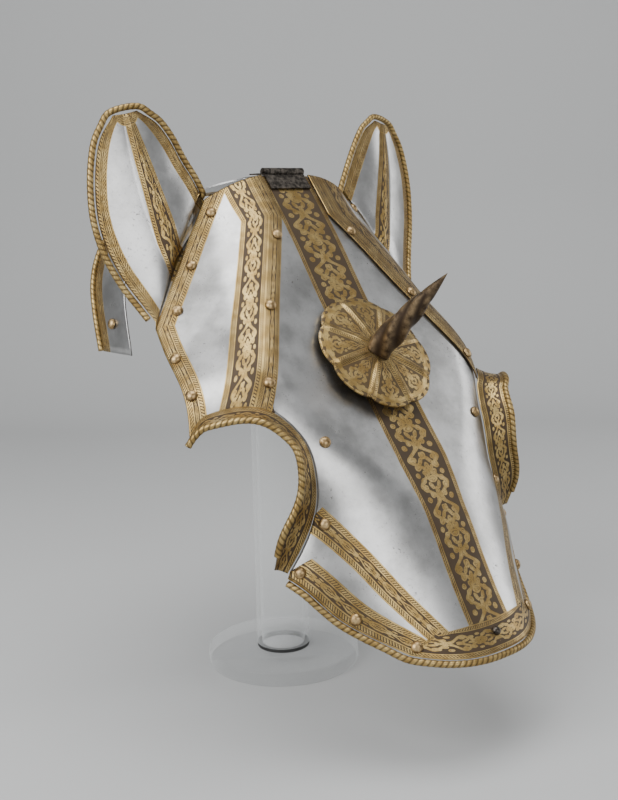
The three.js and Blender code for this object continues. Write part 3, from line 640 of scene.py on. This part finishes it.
def gilt_sheet_finish(name, half, period):
    """Foliage from edge to edge; the piece keeps its along and across as band."""
    finish = Finish(name)
    along, across, _ = finish.kept("band")
    gold = etched(finish, along, across, half, period)
    finish.set(
        Base_Color=gilt_colours(finish, gold),
        Metallic=0.55 + gold * 0.4,
        Roughness=0.55 - gold * 0.16,
    )
    finish.relief(gold, 0.15, 0.7)
    return finish.material


roped_gilt = rope_finish()
flange_gilt = gilt_sheet_finish("etched_gilt_flange", 10.5, 34.0)

# %% [markdown]
# ## The eye flanges
# A hollowed flange stands out round each eye and ends in a roped bead. It is a strip swept along the
# cut-out, wider at the rear than above the eye.

# %% The eye flanges
FLANGE = [(0, 11, 11, 9), (0.12, 15, 17, 11), (0.3, 20, 15, 11), (0.45, 23, 9, 12), (0.62, 24, 1, 16),
          (0.8, 23, -6, 16), (0.93, 22, -8, 11), (1, 13, -5, 3)]


FLANGE_HOLLOW = 2.2


def flange(word, side, steps=150):
    s = np.linspace(0, 1, steps)
    cut = np.array([cut_at(v) for v in s])
    reach_x, reach_down, reach_out = table_curve(FLANGE, s).T
    step = 1 / (1 + np.exp(-(s - EYE_PARTING - 0.02) * 90))
    lift = (LAP_GAP + PLATE / 2) * (1 - step) - PLATE / 2 * step
    base = on_face(cut[:, 0], cut[:, 1]) + face_normal(cut[:, 0], cut[:, 1]) * lift[:, None]
    reach = reach_down[:, None] * DOWN + reach_out[:, None] * OUT
    reach[:, 0] = reach_x
    root, rim = base + unit(reach) * (GAP + 1.4), base + reach
    beside = unit(np.gradient(root, axis=0))
    run = rim - root
    face = unit(np.cross(beside, unit(run)))
    across = np.linspace(0, 1, 22)
    hollow = -FLANGE_HOLLOW * np.sin(math.pi * np.clip(across, 0, 1)) ** 0.8
    middle = root[:, None] + run[:, None] * across[None, :, None]
    front = middle + face[:, None] * (hollow + PLATE / 2)[None, :, None]
    back = middle + face[:, None] * (hollow - PLATE / 2)[None, :, None]
    length = np.concatenate([[0], np.cumsum(np.linalg.norm(np.diff(root, axis=0), axis=1))])
    band = vectors(length[:, None], (across[None] - 0.5) * 21)
    flip = np.array([side, 1, 1])
    sheet(f"eye_flange_sheet_{word}", front * flip, back * flip, {"band": band}, flange_gilt,
          "armour", [f"eye_flange_{word}"], side < 0)
    roped_bar(f"eye_flange_bead_{word}", rim[::6] * flip, ROLL, roped_gilt, "armour",
              [f"eye_flange_{word}"], steps=300)


for word, side in SIDES.items():
    flange(word, side)
print("eye flanges:", len(SIDES))

# %% [markdown]
# ## The roped lower edge
# The armourer turns the plate's edge over and files a rope on it. Here it is one twisted bar that
# follows the cheeks and the nose.

# %% The lower roll
def beside_edge(x, down, away, distance):
    away = np.array(away, float) / np.linalg.norm(away)
    edge = off_face(x, down, -PLATE / 2)
    ahead = unit(off_face(x + away[0], down + away[1], -PLATE / 2) - edge)
    return edge + ahead * distance


reach = ROLL + 2 * GAP
half_path = []
for k in range(6):
    s = 0.02 + 0.98 * k / 6
    x, down = CHEEK_CORNER + (NOSE_CORNER - CHEEK_CORNER) * s
    away = (NOSE_CORNER[1] - CHEEK_CORNER[1], CHEEK_CORNER[0] - NOSE_CORNER[0])
    half_path.append(beside_edge(x + CHEEK_BOW * math.sin(math.pi * s), down, away, reach))
for k in range(7):
    s = 1 - k / 6
    slope = (NOSE_TIP - NOSE_CORNER[1]) * RIM_BEND * s**(RIM_BEND - 1) / NOSE_CORNER[0]
    down = NOSE_TIP + (NOSE_CORNER[1] - NOSE_TIP) * s**RIM_BEND
    half_path.append(beside_edge(NOSE_CORNER[0] * s, down, (slope, 1), reach))
lower_path = half_path + [p * np.array([-1, 1, 1]) for p in half_path[-2::-1]]
roped_bar("lower_roll_rope", lower_path, ROLL, roped_gilt, "armour", ["lower_roll"], steps=640)

# %% [markdown]
# ## The ear guards
# Each guard is a leaf with a raised wedge up its middle, tucked under the temple plate. Its rim
# carries a beaded border and a rope, and the wedge is gilt with foliage.

# %% The ear guards
EAR_ROWS = [
    ((76, -4, 441), (120, -18, 393), (157, -20, 347)), ((82, -3, 456), (126, -14, 418), (171, -5, 376)),
    ((92, 0, 473), (132, -9, 446), (182, 4, 413)), ((102, 1, 491), (138, -3, 474), (182.5, 8, 453)),
    ((114, 3, 506), (142, 3, 497), (174, 11, 489)), ((131, 5, 516), (145, 7, 514), (160, 12, 509)),
]
EAR_TUCK = [(71, -168), (108, -120), (141, -79)]
EAR_FOOT = [(81, -179.4), (117, -132.2), (152, -84.4)]
EAR_SINK = 0.7
EAR_LINES = 90


def centripetal(points, steps):
    """The same smooth line, with points spread evenly by row and not by length."""
    rows = np.array(points, float)
    out = []
    for v in np.linspace(0, len(rows) - 1, steps):
        k = min(int(v), len(rows) - 2)
        full = np.vstack([2 * rows[0] - rows[1], rows, 2 * rows[-1] - rows[-2]])
        a, b, c, d = full[k:k + 4]
        d0, d1, d2 = [max(np.linalg.norm(q - p) ** 0.5, 1e-6) for p, q in ((a, b), (b, c), (c, d))]
        leave = ((b - a) / d0 - (c - a) / (d0 + d1) + (c - b) / d1) * d1
        arrive = ((c - b) / d1 - (d - b) / (d1 + d2) + (d - c) / d2) * d1
        t = v - k
        out.append((2 * t**3 - 3 * t**2 + 1) * b + (t**3 - 2 * t**2 + t) * leave
                   + (-2 * t**3 + 3 * t**2) * c + (t**3 - t**2) * arrive)
    return np.array(out)


def ear_lines(steps):
    lines = []
    for k in range(3):
        foot = off_face(float(EAR_FOOT[k][0]), float(EAR_FOOT[k][1]), -EAR_SINK)
        lines.append(centripetal([foot] + [row[k] for row in EAR_ROWS], steps))
    return lines


def drawn_in(edge, keel, distance):
    ahead = unit(np.gradient(edge, axis=0))
    inward = keel - edge
    inward -= ahead * (inward * ahead).sum(axis=1, keepdims=True)
    ramp = np.clip(np.linspace(0, 11, len(edge)) / 1.0 + 0.5, 0, 1)[:, None]
    return edge + unit(inward) * distance * ramp


def ear_bands(f):
    across, up, wedge = f.kept("ear")
    depth, run, _ = f.kept("rim")
    yield across.size() < wedge, up, across, wedge
    yield depth < 10.5, run, depth - 5, 5.5


ear_steel = plate_finish("etched_steel_ear", ear_bands)


def ear_guard(word, side):
    inner, keel, outer = ear_lines(EAR_LINES)
    inset = 2 * ROLL + 1.1
    left, right = drawn_in(inner, keel, inset), drawn_in(outer, keel, inset)
    top = keel.copy()
    top[:, 2] -= np.clip(np.linspace(-10, 1, EAR_LINES), 0, 1) * inset
    tuck = [off_face(float(x), float(d), -EAR_SINK)[None] for x, d in EAR_TUCK]
    left, top, right = [np.vstack([t, line]) for t, line in zip(tuck, (left, top, right))]
    level = np.concatenate([[0], np.linspace(1, 12, EAR_LINES)])
    raised = 4.5 * np.clip((level - 1) / 3, 0, 1) * (1 - 0.65 * level / 12)
    wedge = 0.26 - 0.06 * level / 12
    c = np.linspace(0, 1, 40)
    rows, across = [], []
    for edge, sign in ((left, -1), (right, 1)):
        swell = 3 * np.sin(math.pi * c)[None] * (raised / 4.5)[:, None]
        on_wedge = np.clip((c[None] - (1 - wedge[:, None])) / 0.03, 0, 1)
        ridge = np.clip((c[None] - (1 - wedge[:, None])) / wedge[:, None], 0, 1)
        wedge_lift = raised[:, None] * (0.45 + 0.55 * ridge) * on_wedge
        lift = wedge_lift + swell * (1 - on_wedge)
        half = edge[:, None] + (top - edge)[:, None] * c[None, :, None]
        half[..., 1] -= lift
        reach = np.linalg.norm(top - edge, axis=1)[:, None] * (1 - c[None]) * sign
        rows.append(half)
        across.append(reach)
    grid = np.concatenate([rows[0], rows[1][:, -2::-1]], axis=1)
    across = np.concatenate([across[0], across[1][:, -2::-1]], axis=1)
    width = np.linalg.norm(top - left, axis=1), np.linalg.norm(top - right, axis=1)
    wedge_mm = (np.minimum(*width) * wedge)[:, None]
    edge_mm = np.where(across < 0, width[0][:, None], width[1][:, None]) - np.abs(across)
    tip = np.linalg.norm(grid - grid[-1:, len(c) - 1:len(c)], axis=2)
    up = np.concatenate([[0], np.cumsum(np.linalg.norm(np.diff(top, axis=0), axis=1))])[:, None]
    depth = np.minimum(edge_mm * 0.95, tip * 0.9 + 1)
    flip = np.array([side, 1, 1])
    front = grid * flip
    normal = unit(np.cross(np.gradient(front, axis=1), np.gradient(front, axis=0))) * side
    maps = {"ear": vectors(across, up, wedge_mm), "rim": vectors(depth, up)}
    sheet(f"ear_{word}", front, front - normal * PLATE, maps, ear_steel, "armour",
          [f"ear_guard_{word}"], side > 0)
    inner, keel, outer = ear_lines(12)
    up_side = drawn_in(inner, keel, ROLL)[1:]
    down_side = drawn_in(outer, keel, ROLL)[1:]
    path = np.vstack([up_side, down_side[::-1]]) * flip
    roped_bar(f"ear_rope_{word}", path, ROLL, roped_gilt, "armour", [f"ear_roll_{word}"], steps=460)


for word, side in SIDES.items():
    ear_guard(word, side)
print("ear guards:", len(SIDES))

# %% [markdown]
# ## The rondel and its spike
# A scalloped disc with eight ribs carries the spike. Each panel between two ribs is etched with
# foliage. The spike is turned, then fluted in a slow twist, and its point is plain.

# %% The rondel
RONDEL_RADIUS = 55
RONDEL_RIBS = 8
RONDEL_TURN = 8
STANDOFF = 7.5
DISH = 5
BOSS = 9
RONDEL_WALL = 1.4
RIB_HEIGHT = 1.6


def rondel_finish():
    finish = Finish("etched_gilt_rondel")
    radius, panel, _ = finish.kept("panel")
    rib = (panel.size() - 0.5).size()
    wide = radius * (math.pi / RONDEL_RIBS)
    across = panel * 2 * wide
    gold = etched(finish, radius + 7, across, wide.most(4.0), 29.0)
    edge_line = (radius - 51).size() < 0.5
    rope = mask_of(radius, 47.3, 50.3)
    gold = gold.most(edge_line).most(rope) * (1 - (rib < 0.012))
    finish.set(Base_Color=gilt_colours(finish, gold * 0.9 + 0.1), Metallic=0.6 + gold * 0.35,
               Roughness=0.52 - gold * 0.14)
    finish.relief(gold, 0.15, 0.7)
    return finish.material


def rondel_point(share, angle, drop):
    lobe = np.abs(np.sin(RONDEL_RIBS * angle / 2))
    radius = RONDEL_RADIUS * share * (1 - 0.06 * (1 - lobe**0.7) * share**3)
    narrow = np.clip(1 - lobe / 0.36, 0, 1)
    fades_out = np.minimum(1, 3 * (1 - share) + 0.4)
    starts = np.clip(share / 0.2 - 1, 0, 1)
    rib = RIB_HEIGHT * narrow * fades_out * starts
    out = float(surface_out(0, 0)) + STANDOFF + DISH * (1 - share**1.6) + rib - drop
    turn = angle + math.radians(RONDEL_TURN)
    return face_frame(radius * np.cos(turn), -radius * np.sin(turn), out)


around = np.linspace(0, 2 * math.pi, 321)
shares = np.linspace(0.01, 1, 44)[:, None]
panel = (around * RONDEL_RIBS / (2 * math.pi)) % 1 - 0.5
rondel_maps = {"panel": vectors(shares * RONDEL_RADIUS, panel[None] + 0 * shares)}
rondel_front = rondel_point(shares, around[None], 0)
rondel_back = rondel_point(shares, around[None], RONDEL_WALL)
sheet("rondel_disc", rondel_front, rondel_back, rondel_maps, rondel_finish(), "armour", ["rondel"], True)
brow_out = float(surface_out(0, 0))
boss_foot = brow_out + LAP_GAP
boss_top = brow_out + STANDOFF + DISH - 1.6
boss_profile = [(0, boss_foot), (BOSS, boss_foot), (BOSS, boss_top), (0, boss_top)]
turned("rondel_boss", boss_profile, 40, flange_gilt, "armour", ["rondel"], place=BROW, direction=OUT)

print("rondel ribs:", RONDEL_RIBS)

# %% [markdown]
# The spike is forged and turned to a taper, then four flutes are filed in a slow twist. A ring of
# points per level, with its radius swelled and hollowed by a cosine, makes the same form, and the
# depth fades to nothing before the point.

# %% The brow spike
SPIKE = 99
SPIKE_RADIUS = 11.5


def spike_finish():
    finish = Finish("dark_bronze")
    streak = finish.noise(7, 5.0, 0.65)
    fine = finish.noise(1.3, 3.0)
    depth, _, _ = finish.kept("flute")
    # Painted shade and highlight: the flute grooves are coloured dark bronze and the ridges between them
    # light, under random streaks.
    flute_shade_and_streaks = (depth * 0.5 + 0.5) * streak.ramp(0.3, 0.75)
    colour = finish.blend(flute_shade_and_streaks, (0.045, 0.03, 0.02, 1), (0.30, 0.215, 0.12, 1))
    finish.set(Base_Color=colour, Metallic=0.85, Roughness=0.36 + fine * 0.2)
    return finish.material


def spike():
    level = np.linspace(0, 1, 160)[:, None]
    angle = np.linspace(0, 2 * math.pi, 96, endpoint=False)[None]
    taper = SPIKE_RADIUS * (1 - 0.5 * level) * (1 - 0.97 * level**4)
    depth = np.where(level < 0.68, 0.09, 0.09 - 0.09 * np.clip((level - 0.68) / 0.08, 0, 1))
    flute = np.cos(4 * (angle + level * math.pi * 1.6))
    radius = taper * (1 + depth * flute)
    ring = vectors(radius * np.cos(angle), radius * np.sin(angle), SPIKE * level)
    turn = np.array(Vector((0, 0, 1)).rotation_difference(Vector(OUT)).to_matrix())
    foot = face_frame(0, 0, brow_out + STANDOFF + DISH + GAP)
    points = ring.reshape(-1, 3) @ turn.T + foot
    faces = [(s * 96 + k, s * 96 + (k + 1) % 96, (s + 1) * 96 + (k + 1) % 96, (s + 1) * 96 + k)
             for s in range(159) for k in range(96)]
    faces += [tuple(range(95, -1, -1)), tuple(range(159 * 96, 160 * 96))]
    maps = {"flute": vectors(flute * (depth > 0.01), 0)}
    bronze = spike_finish()
    return make_object("spike", points, faces, len(faces) - 2, maps, bronze, "armour", ["brow_spike"])


spike()

# %% [markdown]
# ## Rivets
# Domed brass heads hold the plates. Each is turned as a dome with a small flat seat and stands where
# the frame has it.

# %% The rivets
def brass_finish(name, base, dark):
    finish = Finish(name)
    wear = finish.noise(3.5, 4.0)
    finish.set(Base_Color=finish.blend(wear.ramp(0.35, 0.7), dark, base), Metallic=0.95,
               Roughness=0.30 + wear * 0.2)
    return finish.material


rivet_brass = brass_finish("rivet_brass", (0.56, 0.40, 0.20, 1), (0.20, 0.13, 0.06, 1))
iron = brass_finish("dark_iron", (0.15, 0.13, 0.11, 1), (0.03, 0.026, 0.022, 1))
RIVETS = [
    ("band_upper", 42, -123, 1), ("band_middle", 80, -57, 1), ("band_lower", 112, 9, 1),
    ("brow", 86, 66, 0), ("cheek_band", 99, 120, 0), ("cheek_corner", 118, 143, 0),
    ("cheek_middle", 94, 192, 0), ("nose", 65, 230, 0), ("ear_upper", 80, -163, 1),
    ("ear_middle", 110, -122, 1), ("ear_lower", 133, -88, 1), ("rear_upper", 151, -47, 1),
    ("rear_lower", 157, -9, 1),
]


def dome(radius, height):
    angle = np.linspace(0, math.pi / 2, 9)[1:-1]
    round_part = [(radius * math.cos(a), height * math.sin(a)) for a in angle]
    return [(0, 0), (radius, 0)] + round_part + [(0, height)]


for word, side in SIDES.items():
    for name, x, down, lapped in RIVETS:
        x, down = float(x * side), float(down)
        seat = off_face(x, down, lapped * TEMPLE_LIFT + 0.5)
        turned(f"rivet_head_{name}_{word}", dome(4.7, 3.4), 28, rivet_brass, "armour",
               [f"rivet_{name}_{word}"], seat, face_normal(x, down))
turned("nose_screw_head", dome(3.6, 3.4), 28, iron, "armour", ["nose_screw"], off_face(0.0, 243.0, 0.5),
       face_normal(0.0, 243.0))

# %% [markdown]
# ## The poll plate and its hinge
# The plate behind the ears arches over the neck and swings on the hinge. The hinge itself keeps the
# frame's solids, with dark iron on them.

# %% The poll plate
PIN = face_frame(0, FACE_TOP - 4.2, float(surface_out(0, FACE_TOP)) + 1.2)
CROWN = PIN[2] - 3
POLL_FRONT = [(0, PIN[1] + 4.4), (0.16, PIN[1] + 6), (0.45, 24), (0.75, 25), (1, 7)]


def poll_point(across, back):
    across, back = np.broadcast_arrays(across, back)
    s = np.abs(across)
    x = 150 * np.sin(math.pi / 2 * s)**0.8 * np.sign(across)
    rise = np.maximum(0, np.cos(math.pi / 2 * s))**0.8
    y = table_curve(POLL_FRONT, s.ravel())[:, 0].reshape(s.shape) + back * (62 + (46 - 62) * s)
    return vectors(x, y, 309 + (CROWN - 309) * rise - 14 * back * (1 - s))


def poll_bands(f):
    along, back, _ = f.kept("poll")
    yield back < 12, along, back - 6, 6.2


def poll_plate():
    across = np.linspace(-1, 1, 161)[:, None]
    back = np.linspace(0, 1, 40)[None]
    outside = poll_point(across, back)
    normal = unit(np.cross(np.gradient(outside, axis=0), np.gradient(outside, axis=1)))
    length = np.concatenate([[0], np.cumsum(np.linalg.norm(np.diff(outside[:, -1], axis=0), axis=1))])
    from_rear = (1 - back) * (62 + (46 - 62) * np.abs(across))
    sheet("poll_sheet", outside, outside - normal * PLATE, {"poll": vectors(length[:, None], from_rear)},
          plate_finish("etched_steel_poll", poll_bands), "poll", ["poll_plate"], True)
    path = poll_point(np.linspace(-1, 1, 21), np.ones(21)) + np.array([0, ROLL + LAP_GAP, 0])
    roped_bar("poll_rope", path, ROLL, roped_gilt, "poll", ["poll_roll"], steps=460)


poll_plate()
for word, side in SIDES.items():
    seat = poll_point(0.93 * side, 0.5)
    outward = unit(np.array([seat[0], 0, 30.0]))
    turned(f"rivet_head_poll_{word}", dome(4.7, 3.4), 28, rivet_brass, "poll", [f"rivet_poll_{word}"],
           seat + outward * 0.7, outward)
for node in ("hinge_leaf_face", "hinge_leaf_poll", "hinge_pin"):
    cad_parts[node].data.materials.clear()
    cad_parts[node].data.materials.append(iron)

# %% [markdown]
# ## The clear stand
# A disc, a black seal, a plug and a tube carry the armour. Clear plastic shows mostly at its edges,
# so its surfaces are smooth, and the light comes through.

# %% The stand
def clear_finish():
    finish = Finish("clear_plastic")
    facing = finish.node("ShaderNodeLayerWeight", inputs={"Blend": 0.5}, output="Facing")
    haze = finish.noise(60, 2.0) * 0.02
    finish.set(Base_Color=(0.80, 0.82, 0.82, 1), Roughness=0.04,
               Alpha=(facing * facing * facing * 0.55 + haze + 0.07).least(1.0))
    return finish.material


def seal_finish():
    finish = Finish("black_rubber")
    grain = finish.noise(1.5, 2.0)
    colour = finish.blend(grain, (0.012, 0.012, 0.012, 1), (0.03, 0.03, 0.03, 1))
    finish.set(Base_Color=colour, Roughness=0.55)
    return finish.material


clear = clear_finish()
black = seal_finish()
BASE, BASE_HEIGHT, EDGE = 72, 12.8, 1.5
COLUMN, WALL, COLUMN_TOP = 25.3, 4.4, 405
SEAL_HEIGHT = 3
PLUG_HEIGHT = 14
seal_foot = BASE_HEIGHT + GAP
column_foot = seal_foot + SEAL_HEIGHT + GAP
inside = COLUMN - WALL
quarter = np.linspace(0, math.pi / 2, 6)
lower = [(BASE - EDGE + EDGE * math.sin(a), EDGE - EDGE * math.cos(a)) for a in quarter]
upper = [(r, BASE_HEIGHT - h) for r, h in lower[::-1]]
turned("stand_disc", [(0, 0)] + lower + upper + [(0, BASE_HEIGHT)], 120, clear, "armour", ["stand_base"])
seal_in, seal_out = COLUMN - 5, COLUMN - 0.4
seal_top = seal_foot + SEAL_HEIGHT
seal_ring = [(seal_in, seal_foot), (seal_out, seal_foot), (seal_out, seal_top), (seal_in, seal_top)]
turned("stand_ring", seal_ring, 96, black, "armour", ["stand_seal"], closed=True)
plug_radius = inside - GAP
plug_top = column_foot + PLUG_HEIGHT
plug = [(0, column_foot), (plug_radius, column_foot), (plug_radius, plug_top), (0, plug_top)]
turned("stand_plug_clear", plug, 96, clear, "armour", ["stand_plug"])
tube = [(inside, column_foot), (COLUMN, column_foot), (COLUMN, COLUMN_TOP), (inside, COLUMN_TOP)]
turned("stand_tube", tube, 120, clear, "armour", ["stand_column"], closed=True)
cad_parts["stand_head_rest"].data.materials.clear()
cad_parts["stand_head_rest"].data.materials.append(clear)

# %% [markdown]
# ## Floor, light and camera
# A pale floor bends up into a plain backdrop. Large soft lights from the left and above give the
# steel its white sheen, and a dim right side leaves its far flank dark.

# %% The studio
def backdrop():
    toward = Vector((0.645, 0.765, 0))
    across = Vector((0.765, -0.645, 0))
    profile = [(-2.5, 0)] + [(1.1 + 0.5 * math.sin(a), 0.5 - 0.5 * math.cos(a))
                             for a in np.linspace(0, math.pi / 2, 14)] + [(1.6, 3.0)]
    points, faces = [], []
    for run, height in profile:
        for side in (-3.0, 3.0):
            points.append(toward * run + across * side + Vector((0, 0, height)))
    for k in range(len(profile) - 1):
        faces.append((2 * k, 2 * k + 1, 2 * k + 3, 2 * k + 2))
    mesh = bpy.data.meshes.new("backdrop")
    mesh.from_pydata(points, [], faces)
    mesh.polygons.foreach_set("use_smooth", [True] * len(faces))
    finish = Finish("paper_backdrop")
    fleck = finish.noise(400, 2.0)
    colour = finish.blend(fleck, (0.44, 0.445, 0.445, 1), (0.46, 0.465, 0.465, 1))
    finish.set(Base_Color=colour, Roughness=0.9)
    mesh.materials.append(finish.material)
    floor = bpy.data.objects.new("backdrop", mesh)
    bpy.context.scene.collection.objects.link(floor)


def soft_light(name, place, aim, width, height, watts):
    data = bpy.data.lights.new(name, "AREA")
    data.shape = "RECTANGLE"
    data.size, data.size_y, data.energy = width, height, watts
    lamp = bpy.data.objects.new(name, data)
    lamp.location = place
    lamp.rotation_euler = (Vector(aim) - Vector(place)).to_track_quat("-Z", "Y").to_euler()
    bpy.context.scene.collection.objects.link(lamp)


backdrop()
middle = (0, -0.08, 0.3)
soft_light("left_box", (-1.5, -0.2, 1.1), middle, 1.2, 1.4, 34)
soft_light("top_box", (-0.1, -0.3, 1.9), middle, 1.4, 1.0, 24)
soft_light("front_box", (-0.5, -2.2, 0.9), middle, 1.2, 1.2, 16)
soft_light("right_box", (1.7, -0.7, 0.7), middle, 0.6, 1.4, 9)
world = bpy.data.worlds.new("studio")
world.use_nodes = True
world.node_tree.nodes["Background"].inputs["Color"].default_value = (0.62, 0.63, 0.64, 1)
world.node_tree.nodes["Background"].inputs["Strength"].default_value = 0.55
bpy.context.scene.world = world

# %% [markdown]
# The camera stands in front of the horse's right side, looks down by ten degrees, and leans by about
# one degree. A tall frame keeps the lens tied to the sensor's height.

# %% The camera
camera_data = bpy.data.cameras.new("camera")
camera_data.sensor_fit = "VERTICAL"
camera_data.sensor_height = 36
camera_data.lens = 49.91
camera = bpy.data.objects.new("camera", camera_data)
bpy.context.scene.collection.objects.link(camera)
turn = Matrix.Rotation(math.radians(-40.06), 3, "Z") @ Matrix.Rotation(math.radians(90 - 10.11), 3, "X")
turn = turn @ Matrix.Rotation(math.radians(-1.226), 3, "Z")
camera.matrix_world = Matrix.Translation((-0.6327, -0.7985, 0.4333)) @ turn.to_4x4()
bpy.context.scene.camera = camera

print("camera right:", [round(v, 3) for v in camera.matrix_world.col[0][:3]])

# %% [markdown]
# The last step brings the scene up to date.

# %% The last update
bpy.context.view_layer.update()
